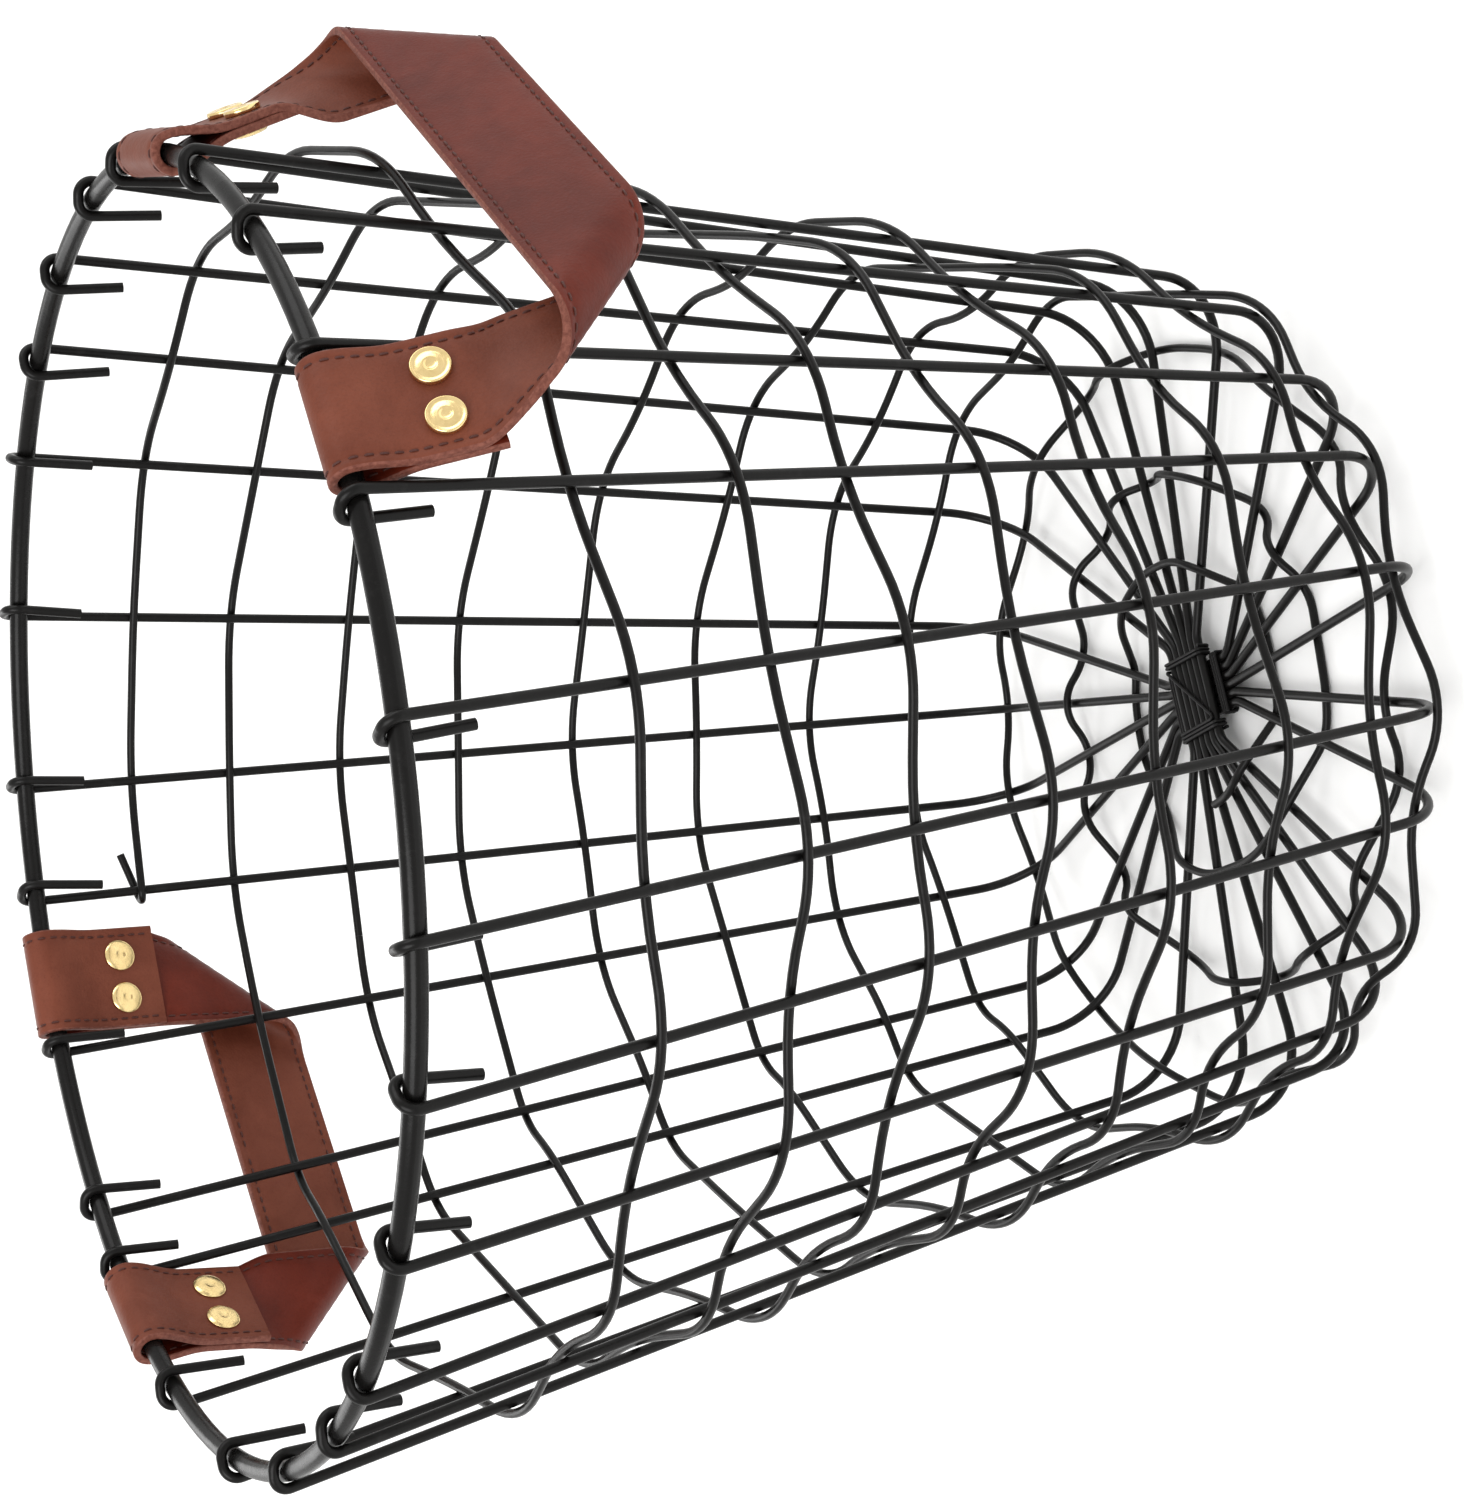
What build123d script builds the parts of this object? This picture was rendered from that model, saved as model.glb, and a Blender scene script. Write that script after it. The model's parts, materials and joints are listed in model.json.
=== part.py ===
"""Deep round basket woven from black wire, with two riveted leather strap handles.

Units are millimetres. The basket stands upright: +Z is up, the floor is Z = 0 and the
origin is on the floor under the middle of the rim. Places around the basket are angles,
seen from above. Ribs are numbered clockwise, and so the weaver wire runs.
"""
from build123d import *
from math import acos, atan2, ceil, cos, degrees, floor, pi, radians, sin, sqrt, tan
import os

os.makedirs("parts", exist_ok=True)

# ---- driving dimensions ---------------------------------------------------------------
RIM_HALF_X = 150.0          # rim wire centre line, half its length along X
RIM_HALF_Y = 146.5          # and along Y
BASE_HALF_X = 111.5         # where the ribs turn in under the base
BASE_HALF_Y = 106.0
BASE_SHIFT = (6.5, -1.5)    # the base sits a little off the middle of the rim
HEIGHT = 290.0              # rim wire centre above the floor

RIM_WIRE = 4.8              # wire diameters
RIB_WIRE = 2.5
WEAVER_WIRE = 2.2
TIE_WIRE = 0.9
CLEARANCE = 0.1             # between two wires that touch

BASE_BEND = 22.0            # bend radii of a rib's centre line
HOOK_BEND = 3.3
SLATH_BEND = 6.0
TAIL_DROP = 15.0            # a hook's cut end, below the rim centre

TIE_PLACE = 10.2            # middle of a tie's turns, from the middle of the slath
TIE_TURNS = 3
TIE_PITCH = 1.0
TIE_BEND = 0.8
RIVET_HEIGHT = 1.7
RIVET_FOOT = 1.3

SLATH_HALF = 14.5           # half the length of the bundle where the base wires cross
BASE_Z = 5.45               # centre line of the ribs under the base
WEAVE_REACH = (RIB_WIRE + WEAVER_WIRE) / 2 + CLEARANCE
WEAVER_BEND = 15.0          # run given up to each bend of the weaver, at most
TURN_GAP = 0.01             # half the gap between two turns of the weaver's solids
PUSH = 0.25
START_TAIL = 11.0

# Angle of each rib's hook on the rim, clockwise from rib 0, in degrees.
RIB_HOOKS = (-51, -68, -81, -98, -114, -126.5, -140.5, -156, -166, -181, -195, -214,
             -233.5, -241.5, -260, -276, -287.5, -305.5, -323, -336.5, -349.5, -364.5,
             -376, -396.5)
# How far each rib has drifted round by the time it turns in under the base.
RIB_DRIFT = (5, 6, 6.5, 8.5, 6, 5.5, 1, 5.5, 5, 4, 4, 4,
             4, 2.5, 3.5, 6, 3.5, 8.5, 8, 7, 3, 7,
             6, 7)
FIRST_RIB = 15              # where the weaver wire starts
# How far each hook's cut end stands to one side of its rib.
RIB_TAILS = (3.5, -3, 3, 4, 3, -3, -4, -3.5, -4.5, -3, 3.5, 4,
             3, 3.5, 1.5, 4, 3, 4.5, 3.5, -3, -3, -3.5, -3, 3.5)
COUNT = len(RIB_HOOKS)
# Distance down the rib, from the rim, at each full turn of the weaver wire.
TURN_DEPTH = (29, 55, 87, 120, 155, 191, 228, 259, 292, 330, 357, 374)
TURN_SAG = 17.0             # the middle turns run lower on the side away from rib 15
WEAVER_TURNS = 10.8
GROUPED_FROM = 9.5          # from this turn on the weaver passes the ribs six at a time

STRAP_WIDTH = 28.0
LEATHER = 2.0               # thickness of one layer
LOOP_GAP = 0.8              # between the rim wire and the leather round it
LOOP_LENGTH = 14.0          # rim centre to where the two layers meet
TAIL_END = 31.0             # rim centre to the cut end of the folded tail
STRAP_START = 33.0          # where the free part of the strap begins
RIVET_DROP = 20.5
RIVET_SPACING = 12.0
RIVET_HEAD = 8.6
RIVET_POST = 3.0
LAYER_GAP = 0.04
JOINT_GAP = 0.3


def vec(*xyz):
    return Vector(*xyz)


def oval(angle, half_x, half_y, z):
    """Point on an oval, at an angle."""
    a = radians(angle)
    return vec(half_x * cos(a), half_y * sin(a), z)


def outward(angle):
    """Level direction square to the rim, at an angle."""
    a = radians(angle)
    return vec(RIM_HALF_Y * cos(a), RIM_HALF_X * sin(a), 0).normalized()


def corner_radius(before, corner, after, reach):
    """Radius that rounds a corner from `reach` before it to `reach` after it."""
    turn = radians((corner - before).get_angle(after - corner))
    return reach / tan(turn / 2)


def tube(path, wire):
    """Round wire along a path."""
    section = Plane(origin=path @ 0, z_dir=path % 0) * Circle(wire / 2)
    return sweep(section, path=path)


# ---- rim --------------------------------------------------------------------------------
def make_rim():
    """Heavy wire ring, an oval of four arcs."""
    shift = (RIM_HALF_X - RIM_HALF_Y) / (2 - sqrt(2))
    end_radius = RIM_HALF_X - shift
    side_radius = RIM_HALF_Y + shift
    arcs = []
    for quarter in range(4):
        a = 90 * quarter
        along_x = quarter % 2 == 0
        centre = vec(shift * cos(radians(a)), -shift * sin(radians(a)), HEIGHT)
        radius = end_radius if along_x else side_radius
        ends = [centre + vec(radius * cos(radians(a + t)), radius * sin(radians(a + t)), 0)
                for t in (-45, 0, 45)]
        arcs.append(ThreePointArc(*ends))
    path = Wire(arcs)
    return tube(path, RIM_WIRE)


# ---- ribs -------------------------------------------------------------------------------
HOOK_REACH = (RIM_WIRE + RIB_WIRE) / 2 + CLEARANCE


class Rib:
    """One rib: its hook on the rim, its corner under the base and its way to the slath."""

    def __init__(self, number):
        self.number = number % COUNT
        self.angle = RIB_HOOKS[self.number]
        self.out = outward(self.angle)
        self.along = vec(0, 0, 1).cross(self.out) * -1
        self.rim = oval(self.angle, RIM_HALF_X, RIM_HALF_Y, HEIGHT)
        base = oval(self.angle + RIB_DRIFT[self.number], BASE_HALF_X, BASE_HALF_Y, BASE_Z)
        self.corner = base + vec(*BASE_SHIFT, 0)
        self.top = self.rim + self.out * HOOK_REACH
        self.slath = slath_end(self.number)
        self.wall = (self.corner - self.top).normalized()
        self.floor = (self.slath - self.corner).normalized()
        self.length = (self.corner - self.top).length
        self.bend = radians(self.wall.get_angle(self.floor))
        self.setback = BASE_BEND * tan(self.bend / 2)

    def at(self, depth):
        """Centre point, direction and outward normal at a distance from the rim."""
        past = depth - self.length
        if abs(past) < self.setback:
            turned = self.bend * (past + self.setback) / (2 * self.setback)
            start = self.corner - self.wall * self.setback
            inward = (self.floor - self.wall * cos(self.bend)).normalized()
            middle = start + inward * BASE_BEND
            normal = self.wall * sin(turned) - inward * cos(turned)
            return middle + normal * BASE_BEND, normal
        if past < 0:
            face = self.floor - self.wall * self.floor.dot(self.wall)
            return self.top + self.wall * depth, face.normalized() * -1
        return self.corner + self.floor * past, vec(0, 0, -1)

    def hook(self):
        """Corner points from the cut end inside the basket, over the rim, to the base."""
        slant = RIB_TAILS[self.number]
        lift = vec(0, 0, HOOK_REACH)
        lean = (self.top - self.corner).normalized()
        outer = self.top + lean * (HOOK_REACH / lean.Z)
        inner = self.rim - self.out * HOOK_REACH + self.along * slant + lift
        drop = TAIL_DROP + 1.5 * (self.number % 4) / 2
        end = self.rim - self.out * (HOOK_REACH + 0.6) + self.along * slant * 0.45
        return [end - vec(0, 0, drop), inner, outer, self.corner]


def slath_end(number):
    """Where a rib enters the bundle of crossed wires in the middle of the base."""
    pitch = RIB_WIRE + CLEARANCE
    group, place = divmod((number + 6) % COUNT, 6)
    offset = (2.5 - place) * pitch
    raised = pitch / 2
    centre = vec(*BASE_SHIFT, BASE_Z)
    if group == 0:
        return centre + vec(SLATH_HALF, offset, raised)
    if group == 1:
        return centre + vec(offset, -SLATH_HALF, -raised)
    if group == 2:
        return centre + vec(-SLATH_HALF, -offset, raised)
    return centre + vec(-offset, SLATH_HALF, -raised)


def make_rib_wire(first, second):
    """One wire: hook, wall, base, slath, and out again to a second hook."""
    points = first.hook() + [first.slath, second.slath] + second.hook()[::-1]
    radii = [HOOK_BEND, HOOK_BEND, BASE_BEND, SLATH_BEND,
             SLATH_BEND, BASE_BEND, HOOK_BEND, HOOK_BEND]
    return tube(FilletPolyline(*points, radius=radii), RIB_WIRE)


# ---- weaver -----------------------------------------------------------------------------
def turns_at(step):
    """Turns made round the basket at a rib, counted in ribs from the first one."""
    lap, place = divmod(step, COUNT)
    swept = (RIB_HOOKS[FIRST_RIB] - RIB_HOOKS[(FIRST_RIB + place) % COUNT]) % 360
    return lap + swept / 360


def depth_at(turns):
    """Distance down the ribs after so many turns."""
    lap = min(floor(turns), len(TURN_DEPTH) - 2)
    level = TURN_DEPTH[lap] + (TURN_DEPTH[lap + 1] - TURN_DEPTH[lap]) * (turns - lap)
    fade = max(0.0, min(1.0, turns, (8.0 - turns) / 1.5))
    return level + TURN_SAG * fade * (1 - cos(2 * pi * turns)) / 2


def side_at(step):
    """+1 outside a rib, -1 inside it: every other rib, the first pair counting as one."""
    turns = turns_at(step)
    if turns >= GROUPED_FROM:
        return 1 if ((FIRST_RIB + step + 6) // 6) % 2 else -1
    lap, place = divmod(step, COUNT)
    passed = place - (1 if place > 7 else 0) + (COUNT - 1) * lap
    return 1 if passed % 2 else -1


def weaver_crossings(ribs):
    """(rib, centre, outward normal, side) for every rib that the weaver passes."""
    crossings = []
    for step in range(floor(WEAVER_TURNS * COUNT)):
        rib = ribs[(FIRST_RIB + step) % COUNT]
        centre, normal = rib.at(depth_at(turns_at(step)))
        crossings.append((rib, centre, normal, side_at(step)))
    return crossings


def passes_clear(before, crossing, after):
    """Does a straight run from one crossing to the next but one clear the rib between?"""
    rib, centre, normal, side = crossing
    run = after - before
    share = (centre - before).dot(rib.along) / run.dot(rib.along)
    return ((before + run * share) - centre).dot(normal) * side > WEAVE_REACH


def reach_beside(before, corner, after):
    """Length of a run given up to the bend at its end."""
    shorter = min((corner - before).length, (after - corner).length)
    return min(WEAVER_BEND, 0.47 * shorter)


def weaver_route(ribs):
    """(points, turn of each): hooked round the first rib, down the wall and into the base."""
    crossings = weaver_crossings(ribs)
    points = [centre + normal * side * WEAVE_REACH for _, centre, normal, side in crossings]
    skipped = set()
    for i in range(1, len(points) - 1):
        if i - 1 not in skipped and passes_clear(points[i - 1], crossings[i], points[i + 1]):
            skipped.add(i)
    for _ in range(6):
        skipped = {i for i in skipped if passes_clear(points[i - 1], crossings[i], points[i + 1])}
        kept = [i for i in range(len(points)) if i not in skipped]
        for before, i, after in zip(kept, kept[1:], kept[2:]):
            _, centre, normal, side = crossings[i]
            corner = points[i]
            turn = radians((corner - points[before]).get_angle(points[after] - corner))
            cut = reach_beside(points[before], corner, points[after]) * tan(turn / 4)
            points[i] = centre + normal * side * (WEAVE_REACH + cut + PUSH)
    first, centre, normal, side = crossings[0]
    back = first.along * -(WEAVE_REACH + 0.2)
    start = [centre - normal * side * WEAVE_REACH + first.along * START_TAIL - first.wall * 4,
             centre - normal * side * WEAVE_REACH + back,
             centre + normal * side * WEAVE_REACH + back]
    route = start + [points[i] for i in kept[1:]]
    turns = [0] * len(start) + [i // COUNT for i in kept[1:]]
    return route, turns


def make_weaver(ribs):
    """The spiral of one wire, as a solid for each turn round the basket."""
    route, turns = weaver_route(ribs)
    radii = [0]
    for before, corner, after in zip(route, route[1:], route[2:]):
        radii.append(corner_radius(before, corner, after, reach_beside(before, corner, after)))
    radii.append(0)
    pieces = []
    for turn in range(turns[-1] + 1):
        first = turns.index(turn)
        last = len(turns) - 1 - turns[::-1].index(turn)
        points = route[first:last + 1]
        rounds = radii[first:last + 1]
        if turn > 0:
            points.insert(0, meeting(route[first], route[first - 1]))
        else:
            rounds = rounds[1:]
        if last < len(route) - 1:
            points.append(meeting(route[last], route[last + 1]))
        else:
            rounds = rounds[:-1]
        pieces.append(tube(FilletPolyline(*points, radius=rounds), WEAVER_WIRE))
    return pieces


def meeting(near, far):
    """Where a turn of the weaver stops, just short of the next one."""
    run = far - near
    return near + run * (0.5 - TURN_GAP / run.length)


# ---- ties round the slath ---------------------------------------------------------------
def make_tie(along_x):
    """Thin wire: three turns round one bundle, across the middle, three turns again."""
    pitch = RIB_WIRE + CLEARANCE
    half_wide = 2.5 * pitch + (RIB_WIRE + TIE_WIRE) / 2 + CLEARANCE
    half_high = (RIB_WIRE + TIE_WIRE) / 2 + CLEARANCE
    level = BASE_Z + (pitch / 2 if along_x else -pitch / 2)
    face = 1 if along_x else -1
    lap_there = ((-1, -1), (1, -1), (1, 1), (-1, 1))
    lap_back = ((1, 1), (1, -1), (-1, -1), (-1, 1))
    points = []
    for place, lap in ((-TIE_PLACE, lap_there), (TIE_PLACE, lap_back)):
        for turn in range(TIE_TURNS):
            for quarter, (side, rise) in enumerate(lap):
                run = place + (turn + quarter / 4 - TIE_TURNS / 2) * TIE_PITCH
                points.append((run, side * half_wide, rise * face * half_high))
    centre = vec(*BASE_SHIFT, level)
    if along_x:
        route = [centre + vec(run, across, rise) for run, across, rise in points]
    else:
        route = [centre + vec(across, run, rise) for run, across, rise in points]
    return tube(FilletPolyline(*route, radius=TIE_BEND), TIE_WIRE)


# ---- handles ----------------------------------------------------------------------------
class Loop:
    """Where a strap's end goes round the rim: its place, and its directions."""

    def __init__(self, angle, lift):
        self.centre = oval(angle, RIM_HALF_X, RIM_HALF_Y, HEIGHT)
        out = outward(angle)
        up = vec(0, 0, 1)
        tilt = radians(lift)
        self.front = out * cos(tilt) + up * sin(tilt)
        self.along = up.cross(out) * -1
        self.hang = out * sin(tilt) - up * cos(tilt)
        self.plane = Plane(origin=self.centre, x_dir=self.front, z_dir=self.along)

    def point(self, across, front, drop):
        return self.centre + self.along * across + self.front * front + self.hang * drop


def teardrop(radius, half_neck, length):
    """Flat outline: round at the wire, narrowing to a neck below it."""
    neck = Pos(0, -length) * Rectangle(2 * half_neck, 0.1)
    return make_hull(Circle(radius).edges() + neck.edges())


def make_end(loop):
    """Leather round the rim: the strap outside, its folded tail inside."""
    inner = RIM_WIRE / 2 + LOOP_GAP
    half_gap = LAYER_GAP / 2
    skin = teardrop(inner + LEATHER, half_gap + LEATHER, LOOP_LENGTH)
    skin -= teardrop(inner, half_gap, LOOP_LENGTH - 0.06)
    front = Pos(half_gap + LEATHER / 2, -(LOOP_LENGTH + STRAP_START) / 2)
    back = Pos(-half_gap - LEATHER / 2, -(LOOP_LENGTH + TAIL_END) / 2)
    skin += front * Rectangle(LEATHER, STRAP_START - LOOP_LENGTH)
    skin += back * Rectangle(LEATHER, TAIL_END - LOOP_LENGTH)
    body = extrude(loop.plane * skin, amount=STRAP_WIDTH / 2, both=True)
    for place in rivet_places(loop):
        body -= place * Cylinder(RIVET_POST / 2 + 0.05, 3 * LEATHER)
    return body


def rivet_places(loop):
    """Planes at the middle of the leather, facing outward."""
    return [Plane(origin=loop.point(side * RIVET_SPACING / 2, 0, RIVET_DROP),
                  x_dir=loop.along, z_dir=loop.front) for side in (-1, 1)]


def make_cap(height, post):
    """Domed rivet head on its post, standing on Z = 0."""
    head = Cylinder(RIVET_HEAD / 2, height, align=(Align.CENTER, Align.CENTER, Align.MIN))
    head = fillet(head.edges().sort_by(Axis.Z)[-1], 0.75 * height)
    stem = Cylinder(RIVET_POST / 2, post + 0.5 * height, align=(Align.CENTER, Align.CENTER, Align.MIN))
    return head + Pos(0, 0, -post) * stem


def make_back(height):
    """Flat rivet foot, standing on Z = 0."""
    foot = Cylinder(RIVET_HEAD / 2, height, align=(Align.CENTER, Align.CENTER, Align.MIN))
    return fillet(foot.edges().sort_by(Axis.Z)[-1], 0.35 * height)


def make_rivets(loop):
    """Both caps and both feet of one strap end."""
    face = LAYER_GAP / 2 + LEATHER
    cap = make_cap(RIVET_HEIGHT, 2 * face)
    foot = make_back(RIVET_FOOT)
    caps = [place.offset(face) * cap for place in rivet_places(loop)]
    turned = Rot(180, 0, 0)
    feet = [place.offset(-face) * turned * foot for place in rivet_places(loop)]
    return Compound(caps), Compound(feet)


def diagonal_roll(start, radius, steps):
    """Rulings of a flat strap rolled over about a slanted line.

    The strap comes down, rolls outward and leaves level. Each ruling is (leading edge,
    trailing edge, normal), as offsets: X along the handle, Y outward, Z down.
    """
    slant = vec(1, 0, 1).normalized()
    across = vec(-1, 0, 1).normalized()
    out = vec(0, 1, 0)
    half = STRAP_WIDTH / sqrt(2)
    rulings = []
    for step in range(steps + 1):
        turn = pi * step / steps
        middle = (vec(0, 0, start) + slant * radius * turn + across * radius * sin(turn)
                  + out * radius * (1 - cos(turn)))
        normal = out * cos(turn) - across * sin(turn)
        rulings.append((middle + slant * half, middle - slant * half, normal))
    return rulings


class Handle:
    """A strap between two loops on the rim."""

    def __init__(self, first_angle, second_angle, lift, roll_start, roll_radius):
        self.loops = (Loop(first_angle, lift), Loop(second_angle, lift))
        first, second = self.loops
        self.middle = (first.centre + second.centre) / 2
        self.along = (second.centre - first.centre).normalized()
        self.half = (second.centre - first.centre).length / 2
        level_out = self.along.cross(vec(0, 0, -1))
        tilt = radians(lift)
        self.down = vec(0, 0, -1) * cos(tilt) + level_out * sin(tilt)
        self.out = self.along.cross(self.down)
        self.rulings = self.make_rulings(diagonal_roll(roll_start, roll_radius, 8))

    def place(self, local):
        return self.along * local.X + self.out * local.Y + self.down * local.Z

    def make_rulings(self, roll):
        """(leading edge, trailing edge, normal) along the strap, loop to loop."""
        skin = LAYER_GAP / 2 + LEATHER / 2
        first, second = self.loops
        start = STRAP_START + JOINT_GAP
        half = STRAP_WIDTH / 2
        rulings = [(first.point(half, skin, start), first.point(-half, skin, start), first.front)]
        for mirror in (1, -1):
            side = []
            for lead, trail, normal in roll:
                ends = [self.middle + self.place(vec(mirror * (p.X - self.half), p.Y + skin, p.Z))
                        for p in (lead, trail)]
                side.append((*ends, self.place(vec(mirror * normal.X, normal.Y, normal.Z))))
            rulings += side if mirror == 1 else side[::-1]
        rulings.append((second.point(-half, skin, start), second.point(half, skin, start),
                        second.front))
        return rulings

    def strap(self):
        """The free part of the strap."""
        outlines = []
        for lead, trail, normal in self.rulings:
            skin = normal * LEATHER / 2
            outlines.append((lead + skin, lead - skin, trail - skin, trail + skin))
        faces = [make_face(Polyline(*outline, close=True)) for outline in (outlines[0], outlines[-1])]
        for here, there in zip(outlines, outlines[1:]):
            for i in range(4):
                j = (i + 1) % 4
                faces.append(Face.make_bezier_surface([[here[i], here[j]], [there[i], there[j]]]))
        return Solid(Shell(faces))


# ---- the whole basket -------------------------------------------------------------------
def export(name, shape):
    export_step(shape, f"parts/{name}.step")


def main():
    ribs = [Rib(number) for number in range(COUNT)]
    export("rim_wire", make_rim())
    for i in range(COUNT // 2):
        first = i if i < 6 else 12 + i
        wire = make_rib_wire(ribs[first], ribs[17 - i])
        export(f"rib_wire_{i + 1:02d}", wire)
    for number, turn in enumerate(make_weaver(ribs), 1):
        export(f"weaver_turn_{number:02d}", turn)
    export("slath_tie_x", make_tie(True))
    export("slath_tie_y", make_tie(False))
    handles = {"a": Handle(-24.5, -74.5, 20, 48, 6), "b": Handle(-267, -227.2, 8, 48, 5)}
    for letter, handle in handles.items():
        export(f"handle_{letter}_strap", handle.strap())
        for number, loop in enumerate(handle.loops, 1):
            caps, feet = make_rivets(loop)
            export(f"handle_{letter}_end_{number}", make_end(loop))
            export(f"rivet_caps_{letter}{number}", caps)
            export(f"rivet_feet_{letter}{number}", feet)


main()
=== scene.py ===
"""Looks of a deep wire basket with two leather strap handles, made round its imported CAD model."""
import json
from math import atan2, cos, hypot, pi, radians, sin, sqrt

import bpy
from mathutils import Matrix, Vector


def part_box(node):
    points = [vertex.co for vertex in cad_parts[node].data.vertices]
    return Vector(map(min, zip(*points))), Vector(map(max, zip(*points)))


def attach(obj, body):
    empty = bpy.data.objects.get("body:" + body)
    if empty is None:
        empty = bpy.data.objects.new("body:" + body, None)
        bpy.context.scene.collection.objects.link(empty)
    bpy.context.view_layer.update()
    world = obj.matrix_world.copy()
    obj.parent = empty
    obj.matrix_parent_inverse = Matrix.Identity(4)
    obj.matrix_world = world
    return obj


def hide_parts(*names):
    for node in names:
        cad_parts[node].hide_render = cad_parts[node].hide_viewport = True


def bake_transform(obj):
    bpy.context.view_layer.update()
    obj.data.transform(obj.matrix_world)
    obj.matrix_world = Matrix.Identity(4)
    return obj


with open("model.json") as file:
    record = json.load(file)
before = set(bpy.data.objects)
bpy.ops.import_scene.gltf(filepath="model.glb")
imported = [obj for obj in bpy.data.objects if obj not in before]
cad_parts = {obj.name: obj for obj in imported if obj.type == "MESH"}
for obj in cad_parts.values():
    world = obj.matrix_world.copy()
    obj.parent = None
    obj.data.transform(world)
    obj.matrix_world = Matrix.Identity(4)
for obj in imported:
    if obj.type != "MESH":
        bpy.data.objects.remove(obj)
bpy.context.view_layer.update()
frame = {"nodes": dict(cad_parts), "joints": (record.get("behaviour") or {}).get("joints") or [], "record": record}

MM = 0.001

# ---- the leather straps, in millimetres; they repeat the strap sizes of the CAD model ----
STRAP_WIDTH = 28
LEATHER = 2
RIM_RADIUS = 2.4
LOOP_GAP = 0.8            # air between the rim and the leather round it
LOOP_LENGTH = 14          # from the rim's centre to where the two layers meet
LAYER_GAP = 0.04
TAIL_END = 31             # the folded tail inside the basket ends here
RIVET_DROP = 20.5
RIVET_SPACING = 12
HANG_END = 25             # below this the strap turns from the rim's direction to the handle's
TURN_LENGTH = 16
MEETING = 48              # the two halves of a strap ease into each other this far from the middle
STATION = 0.8             # distance between the strap mesh's cross-sections
EDGE_ROUNDING = 0.45
STITCH_INSET = 2.3        # from the strap's edge
STITCH_PITCH = 3.0
STITCH_LENGTH = 2.3
THREAD = 0.5
STITCH_GROOVE = 0.22

# ---- rivets ----
RIVET_RADIUS = 4.3
FOOT_HEIGHT = 1.3


def joint(name):
    return next(j for j in frame["joints"] if j["name"] == name)


# ---- materials ---------------------------------------------------------------------------
class Shader:
    """Short names for building one material's nodes."""

    def __init__(self, name):
        self.material = bpy.data.materials.new(name)
        self.material.use_nodes = True
        self.tree = self.material.node_tree
        self.bsdf = self.tree.nodes["Principled BSDF"]
        self.place = self.add("ShaderNodeTexCoord").outputs["Object"]

    def add(self, kind, **inputs):
        node = self.tree.nodes.new(kind)
        for key, value in inputs.items():
            socket = node.inputs[key.replace("_", " ")]
            if isinstance(value, bpy.types.NodeSocket):
                self.tree.links.new(value, socket)
            else:
                socket.default_value = value
        return node

    def noise(self, scale, detail=4.0, roughness=0.55, distortion=0.0, stretch=None):
        where = self.place
        if stretch:
            where = self.add("ShaderNodeMapping", Vector=self.place, Scale=stretch).outputs[0]
        return self.add("ShaderNodeTexNoise", Vector=where, Scale=scale, Detail=detail,
                        Roughness=roughness, Distortion=distortion).outputs["Fac"]

    def cells(self, scale, feature="F1"):
        node = self.tree.nodes.new("ShaderNodeTexVoronoi")
        node.feature = feature
        self.tree.links.new(self.place, node.inputs["Vector"])
        node.inputs["Scale"].default_value = scale
        return node.outputs["Distance"]

    def ramp(self, value, *stops):
        """stops: (position, colour or grey)."""
        node = self.add("ShaderNodeValToRGB", Fac=value)
        elements = node.color_ramp.elements
        while len(elements) < len(stops):
            elements.new(0.5)
        for element, (position, shade) in zip(elements, stops):
            element.position = position
            element.color = (*shade, 1) if isinstance(shade, tuple) else (shade, shade, shade, 1)
        return node.outputs["Color"]

    def spread(self, value, low, high):
        """Maps 0..1 to low..high."""
        node = self.add("ShaderNodeMapRange", Value=value)
        node.inputs["To Min"].default_value = low
        node.inputs["To Max"].default_value = high
        return node.outputs["Result"]

    def mix(self, factor, one, two, kind="MIX"):
        node = self.tree.nodes.new("ShaderNodeMix")
        node.data_type = "RGBA"
        node.blend_type = kind
        for socket, value in ((node.inputs[0], factor), (node.inputs[6], one), (node.inputs[7], two)):
            if isinstance(value, bpy.types.NodeSocket):
                self.tree.links.new(value, socket)
            elif isinstance(value, tuple):
                socket.default_value = (*value, 1)
            else:
                socket.default_value = value
        return node.outputs[2]

    def bump(self, height, distance, strength=1.0, under=None):
        node = self.add("ShaderNodeBump", Height=height, Distance=distance, Strength=strength)
        if under:
            self.tree.links.new(under, node.inputs["Normal"])
        return node.outputs["Normal"]

    def finish(self, colour, roughness, normal, **constants):
        for name, value in (("Base Color", colour), ("Roughness", roughness), ("Normal", normal)):
            self.tree.links.new(value, self.bsdf.inputs[name])
        for name, value in constants.items():
            self.bsdf.inputs[name.replace("_", " ")].default_value = value
        return self.material


def black_paint(name, base, low, high, speckle):
    """Baked-on black paint: a fine orange peel, thin spots, dust and small rubs."""
    s = Shader(name)
    rubs = s.ramp(s.noise(260, 6, 0.62), (0.56, 0.0), (0.74, 1.0))
    dust = s.ramp(s.noise(900, 3, 0.7), (0.60, 0.0), (0.78, 1.0))
    worn = tuple(c * 2.1 + 0.006 for c in base)
    dusty = tuple(c * 3.2 + 0.02 for c in base)
    colour = s.mix(s.spread(rubs, 0, 0.55), base, worn)
    colour = s.mix(s.spread(dust, 0, speckle), colour, dusty)
    rough = s.spread(s.noise(140, 5, 0.6), low, high)
    peel = s.bump(s.noise(1500, 2, 0.5), 0.00004, 0.5)
    normal = s.bump(s.noise(320, 3, 0.5), 0.00010, 0.35, peel)
    return s.finish(colour, rough, normal, Specular_IOR_Level=0.17)


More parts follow.
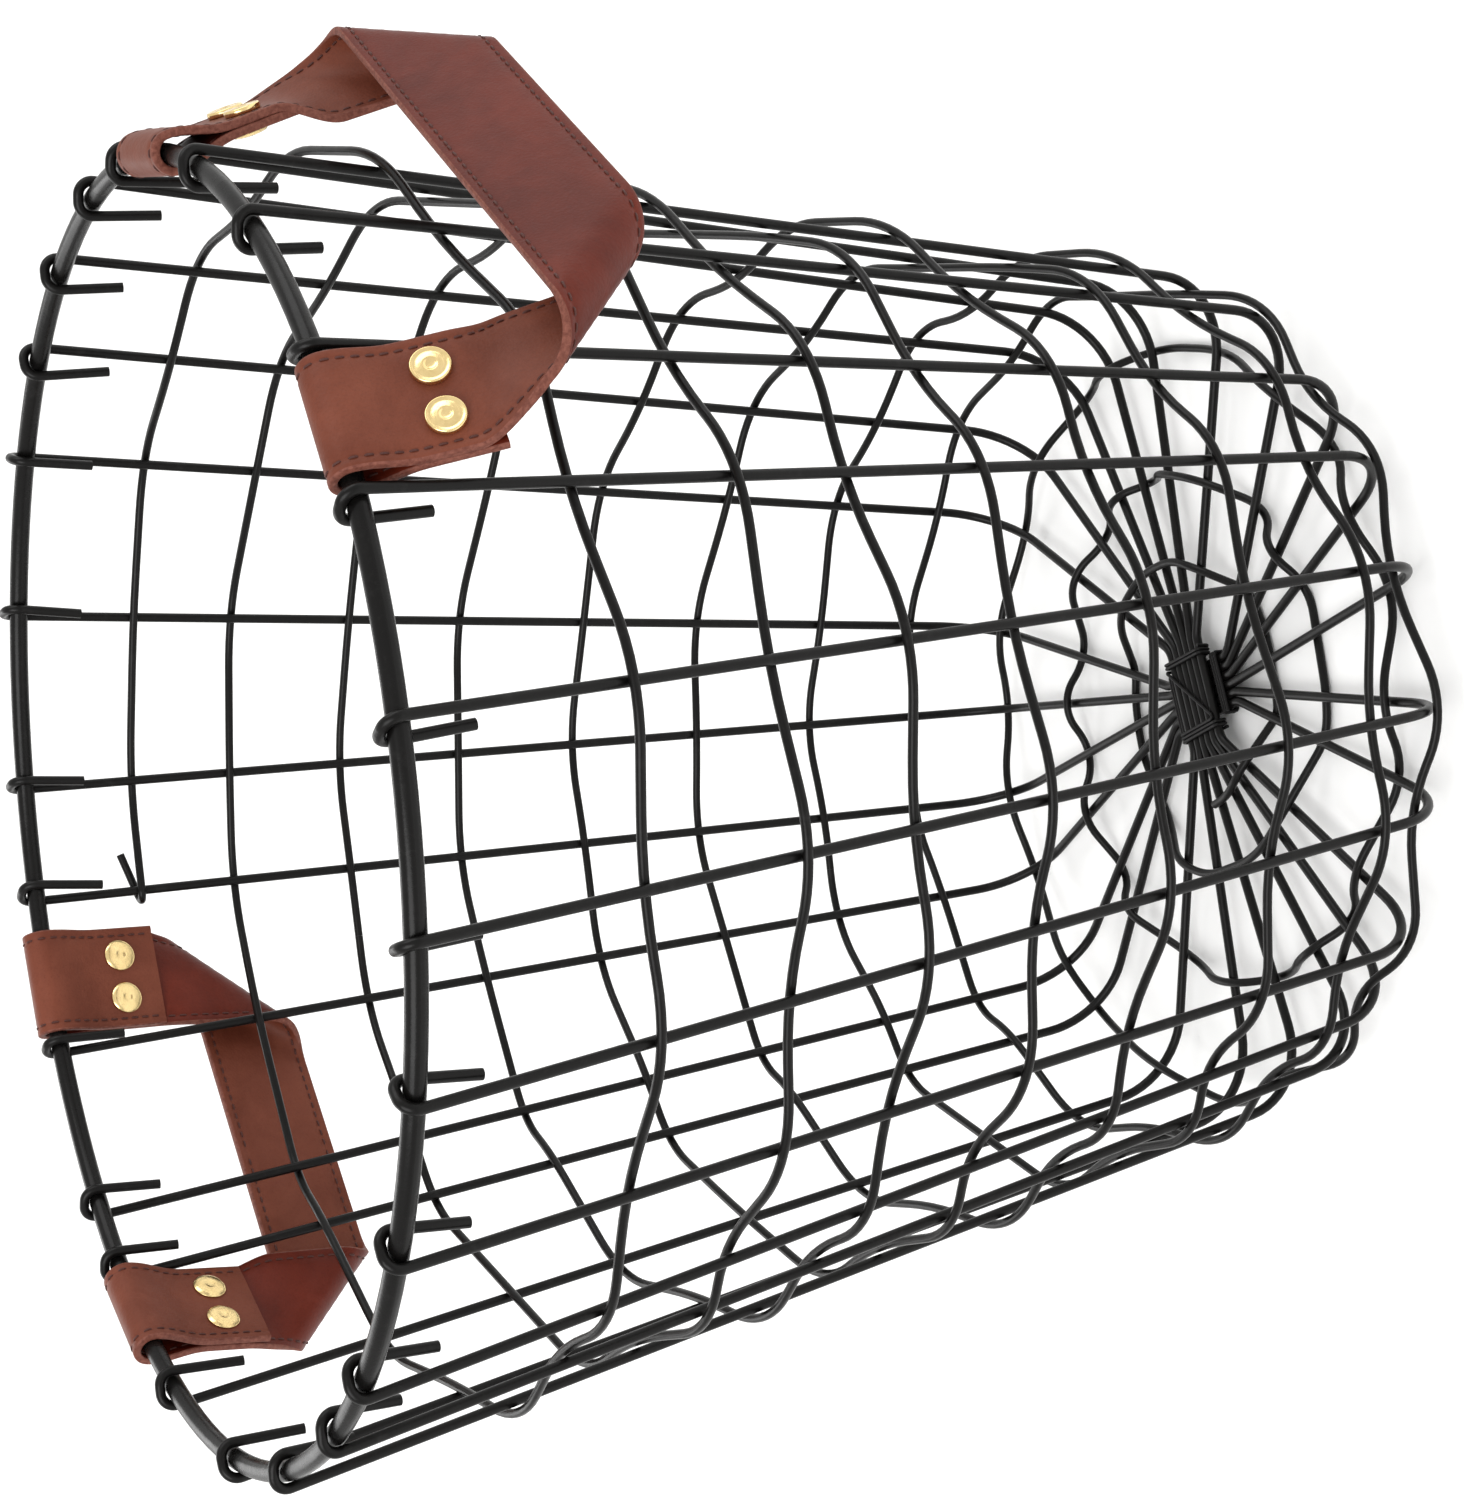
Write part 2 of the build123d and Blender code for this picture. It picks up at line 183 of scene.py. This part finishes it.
def leather(name, dark, light, low, high, pores, crease=0.5):
    """Smooth leather: pores, fine creases, cloudy colour and lighter rubbed patches."""
    s = Shader(name)
    clouds = s.noise(55, 5, 0.6, 0.4)
    colour = s.mix(s.ramp(clouds, (0.34, 0.0), (0.68, 1.0)), dark, light)
    specks = s.ramp(s.noise(1700, 3, 0.6), (0.50, 0.0), (0.72, 1.0))
    colour = s.mix(s.spread(specks, 0, 0.28), colour, tuple(c * 0.62 for c in dark))
    rubbed = s.ramp(s.noise(120, 6, 0.7, 0.8), (0.60, 0.0), (0.80, 1.0))
    colour = s.mix(s.spread(rubbed, 0, 0.30), colour, tuple(min(1, c * 1.35 + 0.01) for c in light))
    rough = s.spread(s.noise(240, 5, 0.6), low, high)
    grain = s.bump(s.cells(1350), 0.00009, pores)
    lines = s.bump(s.cells(520, "DISTANCE_TO_EDGE"), 0.00007, crease * 0.5, grain)
    normal = s.bump(s.noise(150, 5, 0.6, 0.5), 0.00030, crease, lines)
    return s.finish(colour, rough, normal, Specular_IOR_Level=0.17)


def cut_edge():
    """The strap's cut and dyed edge: fibres along the layers, and a pale rubbed core."""
    s = Shader("leather_edge")
    fibres = s.noise(900, 5, 0.7, 0.3)
    colour = s.mix(s.ramp(fibres, (0.38, 0.0), (0.66, 1.0)), (0.105, 0.026, 0.015), (0.20, 0.066, 0.044))
    rough = s.spread(s.noise(600, 4), 0.55, 0.78)
    normal = s.bump(fibres, 0.00015, 0.7)
    return s.finish(colour, rough, normal, Specular_IOR_Level=0.3)


def thread():
    """Waxed thread, twisted."""
    s = Shader("thread")
    twist = s.noise(2600, 2, 0.5, 1.0, (1, 1, 2.2))
    colour = s.mix(twist, (0.030, 0.006, 0.004), (0.085, 0.020, 0.012))
    rough = s.spread(s.noise(1400, 3), 0.45, 0.70)
    return s.finish(colour, rough, s.bump(twist, 0.0001, 0.8), Specular_IOR_Level=0.35)


def brass(name, light, dark):
    """Lacquered pale brass: soft tarnish, hairline scratches and a slight waviness."""
    s = Shader(name)
    tarnish = s.ramp(s.noise(330, 5, 0.6, 0.5), (0.40, 0.0), (0.75, 1.0))
    scratches = s.noise(2400, 2, 0.5, 0.0, (0.08, 1, 1))
    colour = s.mix(s.spread(tarnish, 0, 0.6), light, dark)
    rough = s.spread(scratches, 0.13, 0.27)
    normal = s.bump(scratches, 0.00002, 0.35, s.bump(s.noise(420, 2), 0.00012, 0.5))
    return s.finish(colour, rough, normal, Metallic=1.0)


RIM_PAINT = black_paint("rim_paint", (0.0036, 0.0033, 0.0031), 0.20, 0.34, 0.16)
WIRE_PAINT = black_paint("wire_paint", (0.0034, 0.0031, 0.0029), 0.24, 0.40, 0.14)
TIE_PAINT = black_paint("tie_paint", (0.0040, 0.0037, 0.0036), 0.34, 0.52, 0.12)
GRAIN = leather("leather_grain", (0.074, 0.0080, 0.0026), (0.116, 0.0150, 0.0060), 0.36, 0.52, 0.35)
# Same leather as the outer face above; the inner face's lighter, pinker colours are painted light, not a different
# hide side.
INNER_FACE_PAINTED_LIGHTER = leather("leather_inner", (0.112, 0.0270, 0.0135), (0.160, 0.0430, 0.0230), 0.44, 0.60, 0.45)
EDGE = cut_edge()
THREAD_MATERIAL = thread()
CAP_BRASS = brass("rivet_brass", (0.86, 0.66, 0.32), (0.62, 0.44, 0.18))


# ---- mesh helpers ------------------------------------------------------------------------
def new_piece(name, points, faces, materials, face_materials=None, smooth=True):
    mesh = bpy.data.meshes.new(name)
    mesh.from_pydata([p * MM for p in points], [], faces)
    for material in materials:
        mesh.materials.append(material)
    if face_materials:
        mesh.polygons.foreach_set("material_index", face_materials)
    mesh.polygons.foreach_set("use_smooth", [smooth] * len(faces))
    mesh.validate()
    piece = bpy.data.objects.new(name, mesh)
    bpy.context.scene.collection.objects.link(piece)
    return piece


def ease(value):
    """0 below 0, 1 above 1, and a smooth step between."""
    value = min(1.0, max(0.0, value))
    return value * value * (3 - 2 * value)


# ---- straps ------------------------------------------------------------------------------
class Hang:
    """One end of a strap: where it goes round the rim, and its directions."""

    def __init__(self, place, inward, tilt):
        self.place = Vector(place) / MM
        self.out = Vector(inward).normalized()
        self.along = self.out.cross(Vector((0, 0, 1)))
        lift = radians(tilt)
        up = Vector((0, 0, 1))
        self.front = self.out * cos(lift) + up * sin(lift)
        self.down = self.out * sin(lift) - up * cos(lift)


def loop_profile():
    """The leather's middle line round the rim, as (front, drop), from the tail's end."""
    skin = (LAYER_GAP + LEATHER) / 2
    radius = RIM_RADIUS + LOOP_GAP + LEATHER / 2
    lean = atan2(radius - skin, LOOP_LENGTH)
    reach = pi / 2 - lean * 0.9
    line = [(-skin, TAIL_END - 0.5 * i) for i in range(int(2 * (TAIL_END - LOOP_LENGTH)))]
    steps = 14
    for i in range(1, steps):
        share = i / steps
        belly = skin + (radius * sin(reach) - skin) * ease(share)
        line.append((-belly, LOOP_LENGTH * (1 - share) + radius * cos(reach) * share))
    arc = 26
    for i in range(arc + 1):
        turn = reach + (2 * pi - 2 * reach) * i / arc
        line.append((-radius * sin(turn), radius * cos(turn)))
    mirrored = [(-front, drop) for front, drop in line[:len(line) - arc - 1][::-1]]
    line += [p for p in mirrored if p[1] <= HANG_END]
    for _ in range(6):
        line = ([line[0]] + [tuple((a + 2 * b + c) / 4 for a, b, c in zip(*three))
                             for three in zip(line, line[1:], line[2:])] + [line[-1]])
    return line


def rolled(across, down, start, radius):
    """A flat hanging strap's point after the roll over a 45 degree line.

    Returns (along the handle, outward, down)."""
    past = (down - across - start) / sqrt(2)
    level = (down + across - start) / sqrt(2)
    if past <= 0:
        return Vector((across, 0, down))
    if past < pi * radius:
        turn = past / radius
        past, out = radius * sin(turn), radius * (1 - cos(turn))
    else:
        past, out = pi * radius - past, 2 * radius
    slant = Vector((1, 0, 1)) / sqrt(2)
    square = Vector((-1, 0, 1)) / sqrt(2)
    return Vector((0, out, start)) + slant * level + square * past


class Strap:
    """Half of a handle's strap, from the tail's end to the middle of the handle."""

    def __init__(self, hang, middle, toward, start, radius):
        self.hang = hang
        self.toward = toward
        self.sign = 1 if toward.dot(hang.along) > 0 else -1
        level_out = Vector((toward.y, -toward.x, 0)) * self.sign
        if level_out.dot(hang.out) < 0:
            level_out = -level_out
        self.start, self.radius = start, radius
        self.middle = middle
        self.tilt = atan2(hang.front.z, hypot(hang.front.x, hang.front.y))
        up = Vector((0, 0, 1))
        self.front = level_out * cos(self.tilt) + up * sin(self.tilt)
        self.down = level_out * sin(self.tilt) - up * cos(self.tilt)

    def free_point(self, across, down):
        """A point below the rivets; across is towards the handle's middle."""
        skin = (LAYER_GAP + LEATHER) / 2
        hanging = (self.hang.place + self.hang.along * (across * self.sign)
                   + self.hang.front * skin + self.hang.down * down)
        x, y, z = rolled(across, down, self.start, self.radius)
        folded = self.hang.place + self.toward * x + self.front * (y + skin) + self.down * z
        share = ease((down - HANG_END) / TURN_LENGTH)
        return hanging.lerp(folded, share)

    def rows(self, widths, other):
        """Middle-surface points, one row per station."""
        rows = []
        for front, drop in loop_profile():
            rows.append([self.hang.place + self.hang.along * (u * self.sign)
                         + self.hang.front * front + self.hang.down * drop for u in widths])
        length = self.length()
        steps = round((length - HANG_END) / STATION)
        for i in range(1, steps + 1):
            down = HANG_END + (length - HANG_END) * i / steps
            rows.append([self.joined_point(u, down, other) for u in widths])
        return rows

    def length(self):
        """From the rim to the middle of the handle, along the strap."""
        return self.start + self.radius * pi / sqrt(2) + (self.middle - self.hang.place).dot(self.toward)

    def joined_point(self, across, down, other):
        """A free point, drawn towards where the other half would bring the strap."""
        left = self.length() - down
        share = 0.5 * (1 - ease(left / MEETING))
        return self.free_point(across, down).lerp(other.free_point(across, other.length() + left), share)


def profile_across():
    """(across, side) round the strap's section: outer face, edge, inner face, edge."""
    half = STRAP_WIDTH / 2
    flat = half - EDGE_ROUNDING
    seam = half - STITCH_INSET
    stops = [-flat, -seam - 0.9, -seam - 0.4, -seam, -seam + 0.4, -seam + 0.9]
    stops += [-8.5, -5.5, -2.5]
    return stops + [0] + [-u for u in stops[::-1]]


def build_strap(name, strap, other, cad_nodes):
    half, thick = STRAP_WIDTH / 2, LEATHER / 2
    flat = profile_across()
    widths = [-half] + flat + [half]
    rows = strap.rows(widths, other)
    count = len(widths)
    seam = half - STITCH_INSET

    def groove(u):
        return STITCH_GROOVE * max(0.0, 1 - abs(abs(u) - seam) / 0.9)

    section = []
    for i in range(1, count - 1):
        section.append((i, thick - groove(widths[i])))
    rounding = [(thick - EDGE_ROUNDING * (1 - cos(a)), EDGE_ROUNDING * sin(a)) for a in
                (radians(30), radians(60), radians(90))]
    section_edge = [(h, e) for h, e in rounding] + [(0.0, EDGE_ROUNDING)]
    section_edge += [(-h, e) for h, e in rounding[::-1]]
    loop = [(i, h, 0.0) for i, h in section]
    loop += [(count - 2, h, e) for h, e in section_edge]
    loop += [(i, -h, 0.0) for i, h in section[::-1]]
    loop += [(1, -h, -e) for h, e in section_edge]
    side_of = ([0] * (len(section) - 1) + [2] * (len(section_edge) + 1)
               + [1] * (len(section) - 1) + [2] * (len(section_edge) + 1))
    points, normals = [], []
    for r, row in enumerate(rows):
        before, after = rows[max(0, r - 1)], rows[min(len(rows) - 1, r + 1)]
        row_normals = []
        for i in range(count):
            along = after[i] - before[i]
            wide = row[min(count - 1, i + 1)] - row[max(0, i - 1)]
            row_normals.append(along.cross(wide).normalized() * strap.sign)
        normals.append(row_normals)
        for i, h, e in loop:
            wide = (row[-1] - row[-2] if e > 0 else row[0] - row[1]).normalized()
            points.append(row[i] + row_normals[i] * h + wide * abs(e))
    ring = len(loop)
    faces, kinds = [], []
    for r in range(len(rows) - 1):
        for i in range(ring):
            j = (i + 1) % ring
            quad = (r * ring + i, r * ring + j, (r + 1) * ring + j, (r + 1) * ring + i)
            faces.append(quad)
            kinds.append(side_of[i])
    faces.append(tuple(range(ring))[::-1])
    kinds.append(2)
    last = (len(rows) - 1) * ring
    faces.append(tuple(last + i for i in range(ring)))
    kinds.append(2)
    # outer face, inner face (a lighter copy of the same leather, painted light) and cut edge
    piece = new_piece(name, points, faces, [GRAIN, INNER_FACE_PAINTED_LIGHTER, EDGE], kinds)
    mesh = piece.data
    mesh.update()
    volume = sum(p.area * p.normal.dot(p.center) for p in mesh.polygons)
    if volume < 0:
        mesh.flip_normals()
    mesh.set_sharp_from_angle(angle=radians(50))
    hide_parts(*cad_nodes)
    stitches = build_stitches(name.replace("strap", "stitches"), rows, normals, widths)
    for soft in (piece, stitches):
        blend_strap(soft)


def blend_strap(piece):
    """Bakes the leather piece's placement into its mesh."""
    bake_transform(piece)


def along_rows(rows, normals, column):
    """(place, direction, normal) every STITCH_PITCH along one column of the strap."""
    line = [row[column] for row in rows]
    travelled, wanted, found = 0.0, STITCH_PITCH, []
    for r in range(len(line) - 1):
        step = (line[r + 1] - line[r]).length
        while travelled + step >= wanted:
            share = (wanted - travelled) / step
            found.append((line[r].lerp(line[r + 1], share), (line[r + 1] - line[r]).normalized(),
                          normals[r][column].lerp(normals[r + 1][column], share).normalized()))
            wanted += STITCH_PITCH
        travelled += step
    return found


def build_stitches(name, rows, normals, widths):
    seam = STRAP_WIDTH / 2 - STITCH_INSET
    columns = [min(range(len(widths)), key=lambda i: abs(widths[i] - place)) for place in (-seam, seam)]
    points, faces = [], []
    rings, sides = 7, 6
    surface = LEATHER / 2 - STITCH_GROOVE
    for column in columns:
        for place, along, normal in along_rows(rows, normals, column):
            wide = along.cross(normal)
            for face_side in (1, -1):
                out = normal * face_side
                first = len(points)
                for k in range(rings):
                    share = 2 * k / (rings - 1) - 1
                    rise = 0.16 - 0.42 * share ** 4
                    girth = THREAD / 2 * sqrt(max(0.12, 1 - 0.9 * share ** 6))
                    centre = place + along * (share * STITCH_LENGTH / 2) + out * (surface + rise)
                    for m in range(sides):
                        turn = 2 * pi * m / sides
                        points.append(centre + wide * (cos(turn) * girth * 1.15) + out * (sin(turn) * girth))
                for k in range(rings - 1):
                    for m in range(sides):
                        n = (m + 1) % sides
                        a, b = first + k * sides, first + (k + 1) * sides
                        quad = (a + m, a + n, b + n, b + m)
                        faces.append(quad if face_side > 0 else quad[::-1])
                caps = (tuple(first + m for m in range(sides))[::-1],
                        tuple(first + (rings - 1) * sides + m for m in range(sides)))
                faces += [cap if face_side > 0 else cap[::-1] for cap in caps]
    piece = new_piece(name, points, faces, [THREAD_MATERIAL])
    return piece


# ---- rivets ------------------------------------------------------------------------------
def lathe(outline, places, name, material):
    """Turns (radius, height) outlines about each place's front, as one mesh."""
    sides = 40
    points, faces = [], []
    for origin, front, along in places:
        third = front.cross(along)
        first = len(points)
        for radius, height in outline:
            for m in range(sides):
                turn = 2 * pi * m / sides
                spoke = along * (radius * cos(turn)) + third * (radius * sin(turn))
                points.append(origin + front * height + spoke)
        for k in range(len(outline) - 1):
            for m in range(sides):
                n = (m + 1) % sides
                a, b = first + k * sides, first + (k + 1) * sides
                faces.append((a + m, a + n, b + n, b + m))
        faces.append(tuple(first + m for m in range(sides))[::-1])
        faces.append(tuple(first + (len(outline) - 1) * sides + m for m in range(sides)))
    return new_piece(name, points, faces, [material])


def cap_outline():
    """A rolled rim round a shallow dish with a set mark in its middle, as (radius, height)."""
    rim = [(RIVET_RADIUS - 0.35 + 0.35 * cos(a), 0.75 + 0.75 * sin(a)) for a in
           (radians(d) for d in range(-60, 91, 15))]
    dish = [(RIVET_RADIUS - 0.60, 1.46), (RIVET_RADIUS - 0.95, 1.34), (RIVET_RADIUS - 1.3, 1.33)]
    dome = [(r, 1.40 + 0.28 * cos(pi / 2 * r / 2.9)) for r in (2.6, 2.2, 1.8, 1.5)]
    mark = [(1.3, 1.52), (1.15, 1.40), (0.9, 1.33), (0.45, 1.31), (0.12, 1.31)]
    return [(RIVET_RADIUS - 0.6, 0.0)] + rim + dish + dome + mark


def foot_outline():
    """A low dome with a rounded rim, dented by the setting tool, as (radius, height)."""
    side = [(RIVET_RADIUS - 0.3 + 0.3 * cos(a), 0.3 + 0.3 * sin(a)) for a in
            (radians(d) for d in range(-60, 61, 20))]
    top = [(r, FOOT_HEIGHT * (1 - 0.42 * (r / RIVET_RADIUS) ** 2.4)) for r in (3.7, 3.2, 2.6, 2.0, 1.5)]
    dent = [(1.15, 1.16), (0.85, 1.06), (0.45, 1.01), (0.12, 1.0)]
    return [(RIVET_RADIUS - 0.6, 0.0)] + side + top + dent


def build_rivets(strap, letter, number, end_body):
    face = LAYER_GAP / 2 + LEATHER
    hang = strap.hang
    for kind, outline, facing in (("caps", cap_outline(), 1), ("feet", foot_outline(), -1)):
        places = []
        for side in (-1, 1):
            origin = (hang.place + hang.along * (side * RIVET_SPACING / 2)
                      + hang.front * (face * facing) + hang.down * RIVET_DROP)
            places.append((origin, hang.front * facing, hang.along))
        piece = lathe(outline, places, f"handle_{letter}_rivet_{kind}_{number}", CAP_BRASS)
        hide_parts(f"rivet_{kind}_{letter}{number}")
        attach(piece, end_body)


# ---- handles -----------------------------------------------------------------------------
HANDLES = {          # tilt of each end, where the roll starts, and its radius, for ends 1 and 2
    "a": ((20, 48, 6), (20, 48, 6)),
    "b": ((8, 48, 5), (8, 48, 5)),
}


def rim_outward(place):
    """Level direction out of the oval rim at a place on it."""
    low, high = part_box("rim_wire")
    half_x, half_y = (high.x - low.x) / 2 - RIM_RADIUS * MM, (high.y - low.y) / 2 - RIM_RADIUS * MM
    return Vector((place.x / half_x ** 2, place.y / half_y ** 2, 0)).normalized()


for letter, ends in HANDLES.items():
    swing = joint(f"handle_{letter}_swing")
    middle = Vector(swing["pos_m"]) / MM
    halves = []
    for number, (tilt, start, radius) in enumerate(ends, 1):
        place = Vector(joint(f"handle_{letter}_end_{number}_twist")["pos_m"])
        hang = Hang(place, rim_outward(place), tilt)
        toward = (middle - hang.place).normalized()
        halves.append(Strap(hang, middle, toward, start, radius))
    for number, (strap, other) in enumerate(zip(halves, halves[::-1]), 1):
        end_body = f"handle_{letter}_end_{number}_body"
        nodes = [f"handle_{letter}_end_{number}", f"handle_{letter}_strap"]
        build_strap(f"handle_{letter}_strap_half_{number}", strap, other, nodes)
        build_rivets(strap, letter, number, end_body)


# ---- wires: the CAD nodes, painted -------------------------------------------------------
PAINT = {"rim_paint": RIM_PAINT, "wire_paint": WIRE_PAINT, "tie_wire": TIE_PAINT}
for subpart in frame["record"]["subparts"]:
    if subpart["material_slot"] in PAINT:
        wire = frame["nodes"][subpart["node"]]
        wire.data.materials.clear()
        wire.data.materials.append(PAINT[subpart["material_slot"]])


# ---- floor, light and camera -------------------------------------------------------------
def make_floor():
    s = Shader("floor")
    patches = s.noise(6, 3, 0.5)
    colour = s.mix(patches, (0.90, 0.90, 0.895), (0.93, 0.93, 0.925))
    s.finish(colour, s.spread(s.noise(40, 3), 0.7, 0.85), s.bump(s.noise(400, 2), 0.0002, 0.1))
    sides, radius = 96, 3500
    turns = [2 * pi * i / sides for i in range(sides)]
    ring = [Vector((radius * cos(turn), radius * sin(turn), 0)) for turn in turns]
    floor = new_piece("floor", ring, [tuple(range(sides))], [s.material], smooth=False)


def softbox(name, place, target, width, height, power):
    light = bpy.data.lights.new(name, "AREA")
    light.shape = "RECTANGLE"
    light.size, light.size_y, light.energy = width, height, power
    lamp = bpy.data.objects.new(name, light)
    bpy.context.scene.collection.objects.link(lamp)
    lamp.location = place
    lamp.rotation_mode = "QUATERNION"
    lamp.rotation_quaternion = (Vector(target) - Vector(place)).to_track_quat("-Z", "Y")


def make_camera():
    """A long lens, close and a little above, turned on its side."""
    data = bpy.data.cameras.new("camera")
    data.lens, data.sensor_width = 74.85, 36
    camera = bpy.data.objects.new("camera", data)
    bpy.context.scene.collection.objects.link(camera)
    right = Vector((-0.196479, -0.408651, -0.891291))
    up = Vector((0.956235, -0.280871, -0.082018))
    back = right.cross(up).normalized()
    turn = Matrix((right, up, back)).transposed()
    camera.matrix_world = Matrix.Translation((-0.16635, -0.67908, 0.49614)) @ turn.to_4x4()
    data.clip_start, data.clip_end = 0.05, 20
    bpy.context.scene.camera = camera


def make_world():
    world = bpy.data.worlds.new("studio")
    world.use_nodes = True
    sky = world.node_tree.nodes["Background"]
    sky.inputs["Color"].default_value = (1.0, 0.995, 0.985, 1)
    sky.inputs["Strength"].default_value = 0.95
    bpy.context.scene.world = world


make_floor()
make_world()
make_camera()
MIDDLE = (0, 0, 0.16)
softbox("key", (-0.9, -0.9, 1.5), MIDDLE, 1.2, 1.2, 22)
softbox("fill", (1.4, -0.5, 0.9), MIDDLE, 0.8, 1.4, 9)
softbox("back", (-0.2, 1.4, 1.0), MIDDLE, 1.4, 0.6, 8)
bpy.context.scene.view_settings.view_transform = "Standard"
